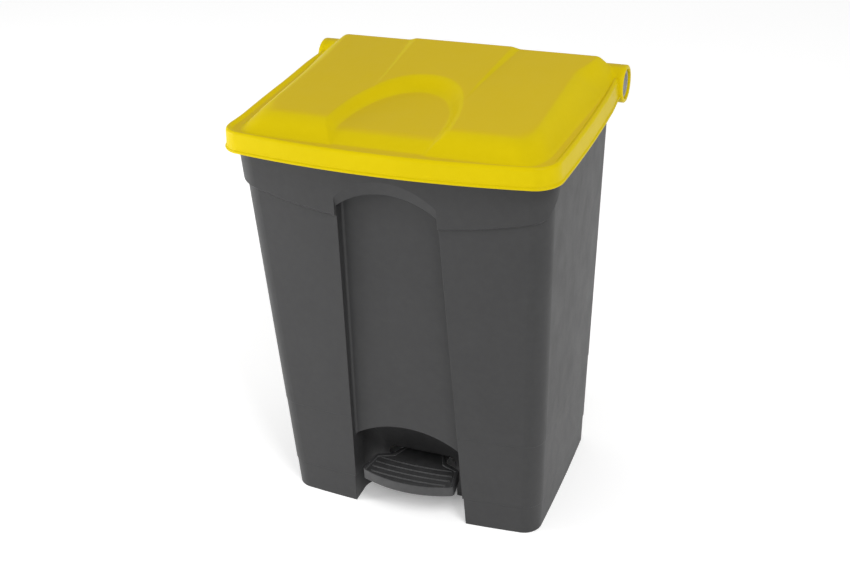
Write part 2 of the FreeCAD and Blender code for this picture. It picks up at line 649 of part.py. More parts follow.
def build_hinge_pin():
    """A hollow moulded pin with a wide head, on the right-hand side."""
    pin = cylinder_x(INNER_BARREL_START, BARREL_HALF_LENGTH, HINGE_Y, HINGE_Z, PIN_RADIUS)
    head_start = BARREL_HALF_LENGTH - PIN_HEAD_LENGTH
    head = cylinder_x(head_start, BARREL_HALF_LENGTH, HINGE_Y, HINGE_Z, PIN_HEAD_RADIUS)
    rim = [e for e in head.Edges if e.CenterOfMass.x > BARREL_HALF_LENGTH - 1 and e.Closed]
    head = head.makeFillet(2, rim[:1])
    socket = cylinder_x(head_start + 3, BARREL_HALF_LENGTH + 1, HINGE_Y, HINGE_Z, PIN_SOCKET_RADIUS)
    bore = cylinder_x(INNER_BARREL_START - 1, BARREL_HALF_LENGTH, HINGE_Y, HINGE_Z, PIN_BORE_RADIUS)
    return pin.fuse(head).cut(socket).cut(bore)


def lug_point(deg):
    """Where the lug's nose is, as (y, z), with the lid opened by deg."""
    angle = math.radians(deg - LID_TRAVEL_DEG / 2)
    return HINGE_Y - LUG_RADIUS * math.cos(angle), HINGE_Z + LUG_RADIUS * math.sin(angle)


def link_yz(points, radius, x0, x1):
    """A flat link through the points (y, z), with rounded ends and joints."""
    pieces = [cylinder_x(x0, x1, y, z, radius) for y, z in points]
    for (ya, za), (yb, zb) in zip(points, points[1:]):
        length = math.hypot(yb - ya, zb - za)
        ny, nz = (za - zb) / length * radius, (yb - ya) / length * radius
        pieces.append(plate_yz([(ya + ny, za + nz), (yb + ny, zb + nz),
                                (yb - ny, zb - nz), (ya - ny, za - nz)], x0, x1))
    return fuse(*pieces)


def build_lug():
    """The lug inside the rolled back edge, with the nose that the rod's cap pushes."""
    half = LUG_SADDLE_HALF_WIDTH
    saddle = tube_x(-half, half, HINGE_Y, HINGE_Z, BARREL_RADIUS - WALL, LUG_SADDLE_INNER_RADIUS)
    saddle = saddle.common(box(-half, half, 100, 260, HINGE_Z, 700))
    nose = lug_point(0)
    arm = link_yz([(HINGE_Y - 19, HINGE_Z + 6), nose], LUG_NOSE_RADIUS, -LUG_HALF_WIDTH, LUG_HALF_WIDTH)
    return saddle.fuse(arm).cut(lug_screw_holes())


def lug_screw_holes():
    """Two screws through the back of the lid's rolled edge, into the lug."""
    length = BARREL_RADIUS - LUG_SCREW_START
    holes = []
    for x in (-LUG_SCREW_X, LUG_SCREW_X):
        start = V(x, HINGE_Y, HINGE_Z) + LUG_SCREW_WAY * LUG_SCREW_START
        holes.append(Part.makeCylinder(SCREW_RADIUS, length + 0.01, start, LUG_SCREW_WAY))
    return Part.makeCompound(holes)


def build_lug_screws():
    screws = []
    for hole in lug_screw_holes().Solids:
        seat = V(hole.CenterOfMass.x, HINGE_Y, HINGE_Z) + LUG_SCREW_WAY * BARREL_RADIUS
        head = Part.makeCylinder(SCREW_HEAD_RADIUS, SCREW_HEAD_HEIGHT, seat, LUG_SCREW_WAY)
        screws.append(hole.fuse(head).removeSplitter())
    return Part.makeCompound(screws)


# ---------------------------------------------------------------- push rod

def rod_top_z():
    return lug_point(0)[1] - LUG_NOSE_RADIUS - ROD_GAP


def lift_pin_point():
    """Where the lever's lift pin is at rest, as (y, z)."""
    rise = 2 * LUG_RADIUS * math.sin(math.radians(LID_TRAVEL_DEG / 2))
    return ROD_Y, PIVOT_Z - rise / 2


def rod_foot_z():
    return lift_pin_point()[1] + SLEEVE_RADIUS + FOOT_GAP


def build_push_rod():
    return cylinder_z(0, ROD_Y, rod_foot_z() + FOOT_SOLE, rod_top_z() - CAP_CROWN, ROD_RADIUS)


def build_rod_cap():
    """The moulded cap on top of the rod, with a flat crown for the lug."""
    top = rod_top_z()
    cap = cylinder_z(0, ROD_Y, top - CAP_HEIGHT, top, CAP_RADIUS)
    cap = cap.makeFillet(CAP_ROUNDING, [e for e in cap.Edges if e.Closed])
    return cap.cut(cylinder_z(0, ROD_Y, top - CAP_HEIGHT - 1, top - CAP_CROWN, ROD_RADIUS))


def build_rod_foot():
    """The moulded foot under the rod, resting over the lever's lift pin."""
    bottom = rod_foot_z()
    foot = cylinder_z(0, ROD_Y, bottom, bottom + FOOT_HEIGHT, CAP_RADIUS)
    foot = foot.makeFillet(CAP_ROUNDING, [e for e in foot.Edges if e.Closed])
    return foot.cut(cylinder_z(0, ROD_Y, bottom + FOOT_SOLE, bottom + FOOT_HEIGHT + 1, ROD_RADIUS))


def build_rod_guide(z):
    middle = z + GUIDE_HEIGHT / 2
    guide = box(-GUIDE_HALF_WIDTH, GUIDE_HALF_WIDTH, GUIDE_FRONT_Y, SPINE_Y, z, z + GUIDE_HEIGHT)
    corners = [e for e in guide.Edges
               if abs(e.CenterOfMass.z - middle) < 0.1 and e.CenterOfMass.y < GUIDE_FRONT_Y + 1]
    guide = guide.makeFillet(4, corners)
    guide = guide.cut(cylinder_z(0, ROD_Y, z - 1, z + GUIDE_HEIGHT + 1, ROD_RADIUS + RUNNING_FIT))
    for x in (-GUIDE_SCREW_X, GUIDE_SCREW_X):
        guide = guide.cut(disc_xz(x, middle, SCREW_RADIUS, GUIDE_SCREW_Y, SPINE_Y + 1))
    return guide


def build_rod_cover():
    """The flat cover over the channel, with a hole for every screw."""
    cover = box(-SPINE_HALF_WIDTH, SPINE_HALF_WIDTH, SPINE_Y, SPINE_Y + WALL, COVER_BOTTOM_Z, COVER_TOP_Z)
    corners = [e for e in cover.Edges if abs(e.CenterOfMass.y - SPINE_Y - WALL / 2) < 0.1]
    cover = cover.makeFillet(5, corners)
    rim = [e for e in cover.Edges if e.CenterOfMass.y > SPINE_Y + WALL - 0.1]
    cover = cover.makeChamfer(0.8, rim)
    for x, z in COVER_SCREWS + GUIDE_SCREWS:
        cover = cover.cut(disc_xz(x, z, SCREW_RADIUS, SPINE_Y - 1, SPINE_Y + WALL + 1))
    return cover


def screws_along_y(places, inner_y):
    """Screws with domed heads on the cover, at the places (x, z)."""
    seat = SPINE_Y + WALL
    top = seat + SCREW_HEAD_HEIGHT
    screws = []
    for x, z in places:
        shank = disc_xz(x, z, SCREW_RADIUS, inner_y, seat + 1)
        head = disc_xz(x, z, SCREW_HEAD_RADIUS, seat, top)
        head = head.makeFillet(1, [e for e in head.Edges if e.CenterOfMass.y > top - 0.1 and e.Closed])
        slot = box(x - 3, x + 3, top - 0.8, top + 1, z - 0.5, z + 0.5)
        screws.append(shank.fuse(head).cut(slot).removeSplitter())
    return Part.makeCompound(screws)


# ---------------------------------------------------------------- pedal and lever

def tread_outline(z, inset):
    """The tread seen from above: a bowed front, straight sides and a neck to the arm."""
    arm_half = ARM_HALF_WIDTH - inset
    right = [V(TREAD_CORNER[0] - inset, TREAD_CORNER[1], z),
             V(TREAD_REAR_CORNER[0] - inset, TREAD_REAR_CORNER[1] - inset, z),
             V(TREAD_NECK[0] - inset, TREAD_NECK[1] - inset, z),
             V(arm_half, ARM_START_Y, z),
             V(arm_half, ARM_REAR_Y - inset, z)]
    left = [V(-p.x, p.y, z) for p in reversed(right)]
    edges = [arc(left[-1], V(0, TREAD_FRONT_Y + inset, z), right[0])]
    path = right + left
    edges += [line(a, b) for a, b in zip(path, path[1:])]
    return Part.Wire(edges)


def tread_block(z0, z1, inset):
    block = Part.Face(tread_outline(z0, inset)).extrude(V(0, 0, z1 - z0))
    upright = [e for e in block.Edges if abs(e.CenterOfMass.z - (z0 + z1) / 2) < 0.1]
    corners = [e for e in upright if e.CenterOfMass.y < TREAD_NECK[1] + inset]
    return block.makeFillet(max(TREAD_ROUNDING - inset, 2), corners)


def tread_rib(y, half):
    """One bowed rib across the tread."""
    z, far = PEDAL_TOP_Z - TREAD_SINK - 1, y + TREAD_RIB_WIDTH
    outline = Part.Wire([
        arc(V(-half, y, z), V(0, y - TREAD_RIB_BOW, z), V(half, y, z)),
        line(V(half, y, z), V(half, far, z)),
        arc(V(half, far, z), V(0, far - TREAD_RIB_BOW, z), V(-half, far, z)),
        line(V(-half, far, z), V(-half, y, z)),
    ])
    return Part.Face(outline).extrude(V(0, 0, PEDAL_TOP_Z - z))


def bar_notch():
    """Room for the right-hand lever bar in the rear wall of the pedal's arm."""
    x0 = ARM_BLOCK_HALF_WIDTH
    return box(x0, x0 + BAR_THICKNESS + 0.3, ARM_REAR_Y - WALL - 1, ARM_REAR_Y + 1, 0,
               PEDAL_TOP_Z - TREAD_SINK - WALL)


def build_pedal():
    """The moulded tread and its arm: a hollow shell with a sunk, ribbed top and a solid root."""
    top, bottom = PEDAL_TOP_Z, PEDAL_TOP_Z - PEDAL_LIP
    under_top = top - TREAD_SINK - WALL
    body = tread_block(bottom, top, 0)
    rim = [e for e in body.Edges if e.CenterOfMass.z > top - 0.1 and e.CenterOfMass.y < ARM_REAR_Y - 1]
    body = body.makeFillet(1.2, rim)
    body = body.cut(tread_block(top - TREAD_SINK, top + 1, TREAD_RIM))
    body = body.cut(tread_block(bottom - 1, under_top, WALL))
    for y, half in zip(TREAD_RIB_Y, TREAD_RIB_HALF_LENGTH):
        body = body.fuse(tread_rib(y, half))
    half = ARM_BLOCK_HALF_WIDTH
    body = body.fuse(box(-half, half, ARM_BLOCK_FRONT_Y, ARM_REAR_Y, bottom - 2, under_top + 1))
    body = body.cut(bar_notch()).cut(mirror_x(bar_notch()))
    for y in BAR_SCREW_Y:
        body = body.cut(cylinder_x(-half - 1, half + 1, y, BAR_FRONT_Z, SCREW_RADIUS))
    return body


def build_lever_bar():
    """The right-hand steel bar of the lever, from the pedal's arm to the lift pin."""
    x0 = ARM_BLOCK_HALF_WIDTH
    x1 = x0 + BAR_THICKNESS
    front = link_yz([(BAR_FRONT_Y, BAR_FRONT_Z), (BAR_SCREW_Y[0], BAR_FRONT_Z), (PIVOT_Y, PIVOT_Z)],
                    BAR_RADIUS, x0, x1)
    rear = link_yz([(PIVOT_Y, PIVOT_Z), lift_pin_point()], BAR_RADIUS, x0, x1)
    hub = cylinder_x(x0, x1, PIVOT_Y, PIVOT_Z, BUSH_RADIUS + 6)
    bar = fuse(front, rear, hub)
    bar = bar.cut(cylinder_x(x0 - 1, x1 + 1, PIVOT_Y, PIVOT_Z, BUSH_RADIUS))
    bar = bar.cut(cylinder_x(x0 - 1, x1 + 1, *lift_pin_point(), LIFT_PIN_RADIUS))
    for y in BAR_SCREW_Y:
        bar = bar.cut(cylinder_x(x0 - 1, x1 + 1, y, BAR_FRONT_Z, SCREW_RADIUS))
    return bar


def build_lever_screws():
    """Screws through the bars into the arm's root, heads outwards."""
    outside = ARM_BLOCK_HALF_WIDTH + BAR_THICKNESS
    screws = []
    for y in BAR_SCREW_Y:
        for side in (1, -1):
            a, b = sorted((side * 1, side * (outside + 1)))
            c, d = sorted((side * outside, side * (outside + SCREW_HEAD_HEIGHT)))
            shank = cylinder_x(a, b, y, BAR_FRONT_Z, SCREW_RADIUS)
            head = cylinder_x(c, d, y, BAR_FRONT_Z, SCREW_HEAD_RADIUS)
            screws.append(shank.fuse(head).removeSplitter())
    return Part.makeCompound(screws)


def build_lift_pin():
    """The steel cross pin at the back of the lever, with a head at each end."""
    outside = ARM_BLOCK_HALF_WIDTH + BAR_THICKNESS
    y, z = lift_pin_point()
    pin = cylinder_x(-outside - 1, outside + 1, y, z, LIFT_PIN_RADIUS)
    heads = [cylinder_x(a, a + 1.8, y, z, LIFT_PIN_HEAD_RADIUS) for a in (outside, -outside - 1.8)]
    return fuse(pin, *heads)


def build_lift_sleeve():
    half = ARM_BLOCK_HALF_WIDTH
    return tube_x(-half, half, *lift_pin_point(), SLEEVE_RADIUS, LIFT_PIN_RADIUS)


def build_pivot_bush():
    """The right-hand plastic bush: it sits in the bar and turns on the axle."""
    inner = AXLE_RADIUS + RUNNING_FIT
    x0 = ARM_BLOCK_HALF_WIDTH
    x1 = x0 + BAR_THICKNESS
    sleeve = tube_x(x0 - 8, BRACKET_INNER_X - 1, PIVOT_Y, PIVOT_Z, BUSH_RADIUS, inner)
    collar_ring = tube_x(x1, x1 + 2, PIVOT_Y, PIVOT_Z, BUSH_RADIUS + 4, inner)
    return sleeve.fuse(collar_ring)


def build_axle():
    return cylinder_x(-AXLE_HALF_LENGTH, AXLE_HALF_LENGTH, PIVOT_Y, PIVOT_Z, AXLE_RADIUS)


def build_axle_clips():
    """A spring clip on each end of the axle, outside the brackets."""
    x0 = BRACKET_INNER_X + BRACKET_THICKNESS
    gap = box(x0 - 1, x0 + 3, PIVOT_Y - 2, PIVOT_Y + 2, PIVOT_Z - 12, PIVOT_Z)
    clip = tube_x(x0, x0 + 1.2, PIVOT_Y, PIVOT_Z, AXLE_RADIUS + 3.5, AXLE_RADIUS).cut(gap)
    return both_sides(clip)


def build_bracket():
    """The right-hand steel bracket under the floor, folded from one plate."""
    x0, t, top = BRACKET_INNER_X, BRACKET_THICKNESS, BRACKET_TOP_Z
    y0, y1 = PIVOT_Y - BRACKET_HALF_LENGTH, PIVOT_Y + BRACKET_HALF_LENGTH
    plate = box(x0, x0 + BRACKET_WIDTH, y0, y1, top - t, top)
    eye = BRACKET_EYE_RADIUS
    cheek = plate_yz([(y0, top), (y1, top), (PIVOT_Y + eye, PIVOT_Z - 4), (PIVOT_Y - eye, PIVOT_Z - 4)],
                     x0, x0 + t)
    cheek = cheek.fuse(cylinder_x(x0, x0 + t, PIVOT_Y, PIVOT_Z - 2, eye))
    bracket = plate.fuse(cheek)
    bracket = bracket.cut(cylinder_x(x0 - 1, x0 + t + 1, PIVOT_Y, PIVOT_Z, AXLE_RADIUS))
    for x, y in BRACKET_SCREWS:
        if x > 0:
            bracket = bracket.cut(cylinder_z(x, y, top - t - 1, top + 1, SCREW_RADIUS))
    return bracket


def build_bracket_screws():
    below = BRACKET_TOP_Z - BRACKET_THICKNESS
    screws = []
    for x, y in BRACKET_SCREWS:
        shank = cylinder_z(x, y, below - 1, FLOOR_Z - WALL - 2, SCREW_RADIUS)
        head = cylinder_z(x, y, below - SCREW_HEAD_HEIGHT, below, SCREW_HEAD_RADIUS)
        screws.append(shank.fuse(head).removeSplitter())
    return Part.makeCompound(screws)


# ---------------------------------------------------------------- screw places and output

BRACKET_SCREWS = [(x, y) for x in (-BRACKET_SCREW_X, BRACKET_SCREW_X) for y in BRACKET_SCREW_Y]
COVER_SCREWS = [(x, z) for x in (-COVER_SCREW_X, COVER_SCREW_X) for z in COVER_SCREW_Z]
GUIDE_SCREWS = [(x, z + GUIDE_HEIGHT / 2) for x in (-GUIDE_SCREW_X, GUIDE_SCREW_X) for z in GUIDE_Z]

save(build_tub(), "tub")
save(build_lid(), "lid")
hinge_pin = build_hinge_pin()
save(hinge_pin, "hinge_pin_right")
save(mirror_x(hinge_pin), "hinge_pin_left")
save(build_lug(), "lid_lifting_lug")
save(build_lug_screws(), "lug_screws")
save(build_push_rod(), "push_rod")
save(build_rod_cap(), "rod_cap")
save(build_rod_foot(), "rod_foot")
save(build_rod_guide(GUIDE_Z[0]), "rod_guide_lower")
save(build_rod_guide(GUIDE_Z[1]), "rod_guide_upper")
save(build_rod_cover(), "rod_cover")
save(screws_along_y(COVER_SCREWS, SPINE_Y - SCREW_DEPTH), "cover_screws")
save(screws_along_y(GUIDE_SCREWS, GUIDE_SCREW_Y), "guide_screws")
save(build_pedal(), "pedal")
lever_bar = build_lever_bar()
save(lever_bar, "lever_bar_right")
save(mirror_x(lever_bar), "lever_bar_left")
save(build_lever_screws(), "lever_screws")
save(build_lift_pin(), "lift_pin")
save(build_lift_sleeve(), "lift_pin_sleeve")
save(both_sides(build_pivot_bush()), "pivot_bushes")
save(build_axle(), "pedal_axle")
save(build_axle_clips(), "axle_clips")
bracket = build_bracket()
save(bracket, "pedal_bracket_right")
save(mirror_x(bracket), "pedal_bracket_left")
save(build_bracket_screws(), "bracket_screws")
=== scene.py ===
import json
import math

import bmesh
import bpy
from mathutils import Matrix, Vector
from mathutils.geometry import delaunay_2d_cdt


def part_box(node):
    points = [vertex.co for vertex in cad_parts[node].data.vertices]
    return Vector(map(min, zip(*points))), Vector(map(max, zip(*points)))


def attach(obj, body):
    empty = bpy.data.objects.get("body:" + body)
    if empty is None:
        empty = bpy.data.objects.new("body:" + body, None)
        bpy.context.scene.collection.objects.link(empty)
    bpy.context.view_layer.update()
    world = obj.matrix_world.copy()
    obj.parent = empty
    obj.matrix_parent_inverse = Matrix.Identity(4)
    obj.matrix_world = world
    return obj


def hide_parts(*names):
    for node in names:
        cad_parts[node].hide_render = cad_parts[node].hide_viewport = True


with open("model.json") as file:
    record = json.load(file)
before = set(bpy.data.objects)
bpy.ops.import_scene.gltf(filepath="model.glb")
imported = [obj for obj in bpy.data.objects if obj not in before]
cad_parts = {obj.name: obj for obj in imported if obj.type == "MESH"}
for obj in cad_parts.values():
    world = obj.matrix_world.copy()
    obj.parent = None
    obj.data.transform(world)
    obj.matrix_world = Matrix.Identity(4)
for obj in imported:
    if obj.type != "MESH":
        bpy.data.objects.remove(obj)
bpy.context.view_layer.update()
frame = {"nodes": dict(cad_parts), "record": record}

scene = bpy.context.scene

MM = 0.001


# ---------------------------------------------------------------- material helpers

BEVEL_SAMPLES = 6
# How far a rounded normal leans from the true one, as a cosine: on flat stretches and at edges.
FLAT_COSINE, EDGE_COSINE = 0.995, 0.8


class Nodes:
    """A short way to build a node tree: add a node, set its inputs, link its outputs."""

    def __init__(self, name):
        self.material = bpy.data.materials.new(name)
        self.material.use_nodes = True
        self.tree = self.material.node_tree
        self.shader = self.tree.nodes["Principled BSDF"]
        self.coordinates = self.add("ShaderNodeTexCoord")

    def add(self, kind, **inputs):
        node = self.tree.nodes.new(kind)
        for key, value in inputs.items():
            self.put(node.inputs[key.replace("_", " ")], value)
        return node

    def put(self, socket, value):
        if isinstance(value, bpy.types.NodeSocket):
            self.tree.links.new(value, socket)
        else:
            socket.default_value = value

    def set_shader(self, **inputs):
        for key, value in inputs.items():
            self.put(self.shader.inputs[key.replace("_", " ")], value)

    def place(self, scale=(1, 1, 1)):
        if scale == (1, 1, 1):
            return self.coordinates.outputs["Object"]
        mapping = self.add("ShaderNodeMapping", Scale=scale)
        self.put(mapping.inputs["Vector"], self.coordinates.outputs["Object"])
        return mapping.outputs["Vector"]

    def noise(self, scale, detail=3.0, roughness=0.5, vector=None):
        node = self.add("ShaderNodeTexNoise", Scale=scale, Detail=detail, Roughness=roughness)
        self.put(node.inputs["Vector"], vector or self.place())
        return node.outputs["Fac"]

    def remap(self, value, low, high, to_low=0.0, to_high=1.0):
        node = self.add("ShaderNodeMapRange", Value=value, From_Min=low, From_Max=high,
                        To_Min=to_low, To_Max=to_high)
        node.clamp = True
        return node.outputs["Result"]

    def mix(self, factor, first, second):
        node = self.tree.nodes.new("ShaderNodeMix")
        node.data_type = "RGBA"
        self.put(node.inputs["Factor"], factor)
        self.put(node.inputs["A"], first)
        self.put(node.inputs["B"], second)
        return node.outputs["Result"]

    def math(self, operation, first, second):
        node = self.tree.nodes.new("ShaderNodeMath")
        node.operation = operation
        self.put(node.inputs[0], first)
        self.put(node.inputs[1], second)
        return node.outputs[0]

    def vector_math(self, operation, first, second):
        node = self.tree.nodes.new("ShaderNodeVectorMath")
        node.operation = operation
        self.put(node.inputs[0], first)
        self.put(node.inputs[1], second)
        return node.outputs["Value"]

    def rounded_normal(self, radius):
        bevel = self.add("ShaderNodeBevel", Radius=radius)
        bevel.samples = BEVEL_SAMPLES
        return bevel.outputs["Normal"]

    def edges(self, radius):
        """0 on flat stretches, rising to 1 along sharp edges."""
        normal = self.add("ShaderNodeNewGeometry").outputs["Normal"]
        cosine = self.vector_math("DOT_PRODUCT", self.rounded_normal(radius), normal)
        return self.remap(cosine, FLAT_COSINE, EDGE_COSINE)

    def bump(self, height, distance, strength, rounding):
        node = self.add("ShaderNodeBump", Distance=distance, Strength=strength, Height=height,
                        Normal=self.rounded_normal(rounding))
        self.set_shader(Normal=node.outputs["Normal"])


def rgb(*values):
    return (*values, 1.0)


# ---------------------------------------------------------------- materials

# Noise keeps near one half, so only the middle of its range is spread out.
SOFT_BAND = 0.35, 0.65
PATCHY_BAND = 0.35, 0.75
STREAK_BAND = 0.3, 0.7

# Noise scales are in waves per metre. Depths and widths are in metres.
DRIFT_SCALE, MOTTLE_SCALE, SCUFF_SCALE = 6.0, 90.0, 26.0
SCUFF_STRETCH = (1.0, 1.0, 0.6)
FINE_GRAIN_SCALE, COARSE_GRAIN_SCALE, GRAIN_DEPTH = 1500.0, 420.0, 0.12 * MM
DRIFT_DARKENING = 0.95
MOTTLE_SHARE = 0.10
SCUFF_SMOOTHER, SCUFF_ROUGHER = 0.03, 0.06
WORN_EDGE_WIDTH = 1.2 * MM

STREAK_SCALE, SPANGLE_SCALE = 160.0, 70.0
STREAK_DEPTH, STREAK_STRENGTH = 0.08 * MM, 0.35
SPANGLE_DARKENING = 0.78
STREAK_SMOOTHER, STREAK_ROUGHER = 0.06, 0.12
RUBBED_EDGE_WIDTH, RUBBED_EDGE_SHARE = 0.8 * MM, 0.5
RUBBED_STEEL = rgb(0.85, 0.85, 0.86)
STEEL_ROUNDING = 0.5 * MM

# Painted shade: faces that look up get a duller, darker yellow in place of the weaker light they
# catch.
UPWARD_SHADE_COLOUR = rgb(0.62, 0.44, 0.010)
UPWARD_SHADE_SHARE = 0.75
# The upward part of the normal where the painted shade starts and where it is strongest.
UPWARD_SHADE_START, UPWARD_SHADE_FULL = 0.965, 0.996


def moulded_plastic(name, colour, worn, rough, grain, rounding, gloss=0.5, rubbed=0.30):
    """Moulded plastic: fine grain, slow colour drift, faint scuffs and paler edges."""
    n = Nodes(name)
    drift = n.noise(DRIFT_SCALE, 2.0)
    mottle = n.noise(MOTTLE_SCALE, 4.0, 0.6)
    scuffs = n.noise(SCUFF_SCALE, 6.0, 0.7, n.place(SCUFF_STRETCH))
    darker = rgb(*(c * DRIFT_DARKENING for c in colour))
    base = n.mix(n.remap(drift, *SOFT_BAND), darker, rgb(*colour))
    base = n.mix(n.remap(mottle, *PATCHY_BAND, 0.0, MOTTLE_SHARE), base, rgb(*worn))
    base = n.mix(n.math("MULTIPLY", n.edges(WORN_EDGE_WIDTH), rubbed), base, rgb(*worn))
    roughness = n.remap(scuffs, *PATCHY_BAND, rough - SCUFF_SMOOTHER, rough + SCUFF_ROUGHER)
    n.set_shader(Base_Color=base, Roughness=roughness, Specular_IOR_Level=gloss)
    fine = n.noise(FINE_GRAIN_SCALE, 2.0, 0.5)
    coarse = n.noise(COARSE_GRAIN_SCALE, 3.0, 0.6)
    n.bump(n.math("ADD", fine, coarse), GRAIN_DEPTH, grain, rounding)
    return n


def tub_plastic():
    n = moulded_plastic("tub_plastic_grained", (0.034, 0.034, 0.0347), (0.074, 0.074, 0.076),
                        rough=0.50, grain=0.35, rounding=1.6 * MM, gloss=0.40)
    n.set_shader(IOR=1.45)
    return n.material


def cover_plastic():
    n = moulded_plastic("cover_plastic_grained", (0.037, 0.037, 0.038), (0.080, 0.080, 0.082),
                        rough=0.52, grain=0.40, rounding=0.8 * MM)
    return n.material


def pedal_plastic():
    """Its ribs and rim are rubbed pale by shoes."""
    n = moulded_plastic("pedal_plastic_worn", (0.038, 0.038, 0.039), (0.20, 0.20, 0.203),
                        rough=0.48, grain=0.5, rounding=1.0 * MM, rubbed=0.80)
    return n.material


def lid_plastic():
    """Yellow, with painted shade: a duller, darker yellow on the faces that look up when the lid is
    shut.
    """
    n = moulded_plastic("lid_plastic_yellow", (0.66, 0.51, 0.0), (0.76, 0.62, 0.01),
                        rough=0.40, grain=0.18, rounding=2.0 * MM, gloss=0.07)
    unshaded_base = n.shader.inputs["Base Color"].links[0].from_socket
    # Painted shade: the upward part of the object-space normal mixes in the darker yellow.
    split = n.add("ShaderNodeSeparateXYZ", Vector=n.coordinates.outputs["Normal"])
    upward_shade = n.remap(split.outputs["Z"], UPWARD_SHADE_START, UPWARD_SHADE_FULL, 0.0, UPWARD_SHADE_SHARE)
    n.set_shader(Base_Color=n.mix(upward_shade, unshaded_base, UPWARD_SHADE_COLOUR), IOR=1.47)
    return n.material


def pin_plastic():
    n = moulded_plastic("pin_plastic_grey", (0.33, 0.335, 0.345), (0.46, 0.465, 0.48),
                        rough=0.42, grain=0.3, rounding=0.8 * MM)
    return n.material


def guide_plastic():
    n = moulded_plastic("guide_plastic_white", (0.62, 0.60, 0.54), (0.74, 0.72, 0.66),
                        rough=0.40, grain=0.3, rounding=0.6 * MM)
    return n.material


def steel(name, colour, rough, streak_stretch):
    """Plated or drawn steel: streaks along the piece, mottled plating and brighter rubbed edges."""
    n = Nodes(name)
    streaks = n.noise(STREAK_SCALE, 4.0, 0.6, n.place(streak_stretch))
    spangle = n.noise(SPANGLE_SCALE, 3.0, 0.5)
    darker = rgb(*(c * SPANGLE_DARKENING for c in colour))
    base = n.mix(n.remap(spangle, *SOFT_BAND), darker, rgb(*colour))
    rubbed = n.math("MULTIPLY", n.edges(RUBBED_EDGE_WIDTH), RUBBED_EDGE_SHARE)
    base = n.mix(rubbed, base, RUBBED_STEEL)
    roughness = n.remap(streaks, *STREAK_BAND, rough - STREAK_SMOOTHER, rough + STREAK_ROUGHER)
    n.set_shader(Base_Color=base, Metallic=1.0, Roughness=roughness)
    n.bump(streaks, STREAK_DEPTH, STREAK_STRENGTH, STEEL_ROUNDING)
    return n.material


FINISHES = {
    "tub_plastic": tub_plastic(),
    "cover_plastic": cover_plastic(),
    "pedal_plastic": pedal_plastic(),
    "lid_plastic": lid_plastic(),
    "pin_plastic": pin_plastic(),
    "guide_plastic": guide_plastic(),
    "zinc_steel": steel("zinc_steel_plated", (0.55, 0.56, 0.58), 0.34, (1.0, 0.12, 1.0)),
    "bright_steel": steel("bright_steel_drawn", (0.66, 0.66, 0.67), 0.26, (0.3, 1.0, 0.05)),
    "screw_steel": steel("screw_steel_plated", (0.50, 0.50, 0.52), 0.30, (1.0, 1.0, 1.0)),
}


def dress_cad_nodes():
    slots = {part["node"]: part["material_slot"] for part in frame["record"]["subparts"]}
    for node, thing in frame["nodes"].items():
        thing.data.materials.clear()
        thing.data.materials.append(FINISHES[slots[node]])


dress_cad_nodes()


# ---------------------------------------------------------------- the lid moulding

# Millimetres. The driving sizes come from the frame: the lid's box and the hinge pins' axis.
lid_low, lid_high = (Vector(corner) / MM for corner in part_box("lid"))
pin_low, pin_high = (Vector(corner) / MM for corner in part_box("hinge_pin_right"))

# The rolled hinge barrel, in closed segments as (inner end, outer end) on each side.
HINGE_Y = (pin_low.y + pin_high.y) / 2
HINGE_Z = (pin_low.z + pin_high.z) / 2
BARREL_RADIUS = lid_high.y - HINGE_Y
BARREL_END = pin_high.x
BARREL_SEGMENTS = ((202.0, BARREL_END), (62.0, 149.5))
BARREL_SIDES = 72
BARREL_INLAY = 0.4
BARREL_TOP_DEG, BARREL_TAIL_DEG, BARREL_STEP_DEG = 90, -20, 5
RIGHT_END_REACH, LEFT_END_REACH = 3.4, 1.5
HEAD_RADIUS = (pin_high.z - pin_low.z) / 2 + 0.4
HEAD_DEPTH = 9.6
PIN_HOLE_RADIUS = 12.06

# The outline in plan. The bows are the x or y squared terms of a slightly curved edge.
WALL = 3.0
BEAD = 0.9
HALF_WIDTH = lid_high.x - BEAD - 0.1
FRONT_Y = lid_low.y + BEAD
SIDE_BOW, FRONT_BOW = 0.00017, 0.000356
SIDE_TUCK, SIDE_TUCK_START_Y, SIDE_TUCK_END_Y = 1.5, 90, 150
CORNER_RADIUS = 39.0
CORNER_SEARCH_STEPS = 40
OUTLINE_STEP, CORNER_STEP_RADIANS = 4, 0.07
REAR_OUTLINE_Y, REAR_OUTLINE_STEP, HINGE_OUTLINE_STEP = 100, 3, 2.5
SKIRT_END_Y = HINGE_Y - 25.2
# The left edge stands in from a mirror image of the right one, most at these middle y values.
LEFT_PULL = 7.0
LEFT_PULL_START_X, LEFT_PULL_END_X = -150, -240
LEFT_PULL_RISES_Y, LEFT_PULL_FALLS_Y = (-195, -110), (0, 165)

# The skirt and the raised lip round its top.
BOTTOM_Z = 611.0
LIP_Z = 642.0
LEDGE_Z = 638.5
LIP_INSET, LIP_RADIUS, LIP_STEP_DEG = 7.0, 4.5, 15
LIP_RINGS = (8.2, 9.4, 10.6, 11.8, 13.0)
LIP_FALL_START, LIP_FALL_END = 7.5, 12.0
SKIRT_FOOT_INSET, SKIRT_END_RISE, SKIRT_STEP = 0.7, 4.5, 5
BEAD_PROFILE = ((0.3 - BEAD, 3.6), (-BEAD, 2.2), (0.4 - BEAD, 0.6), (0.6, 0.0))

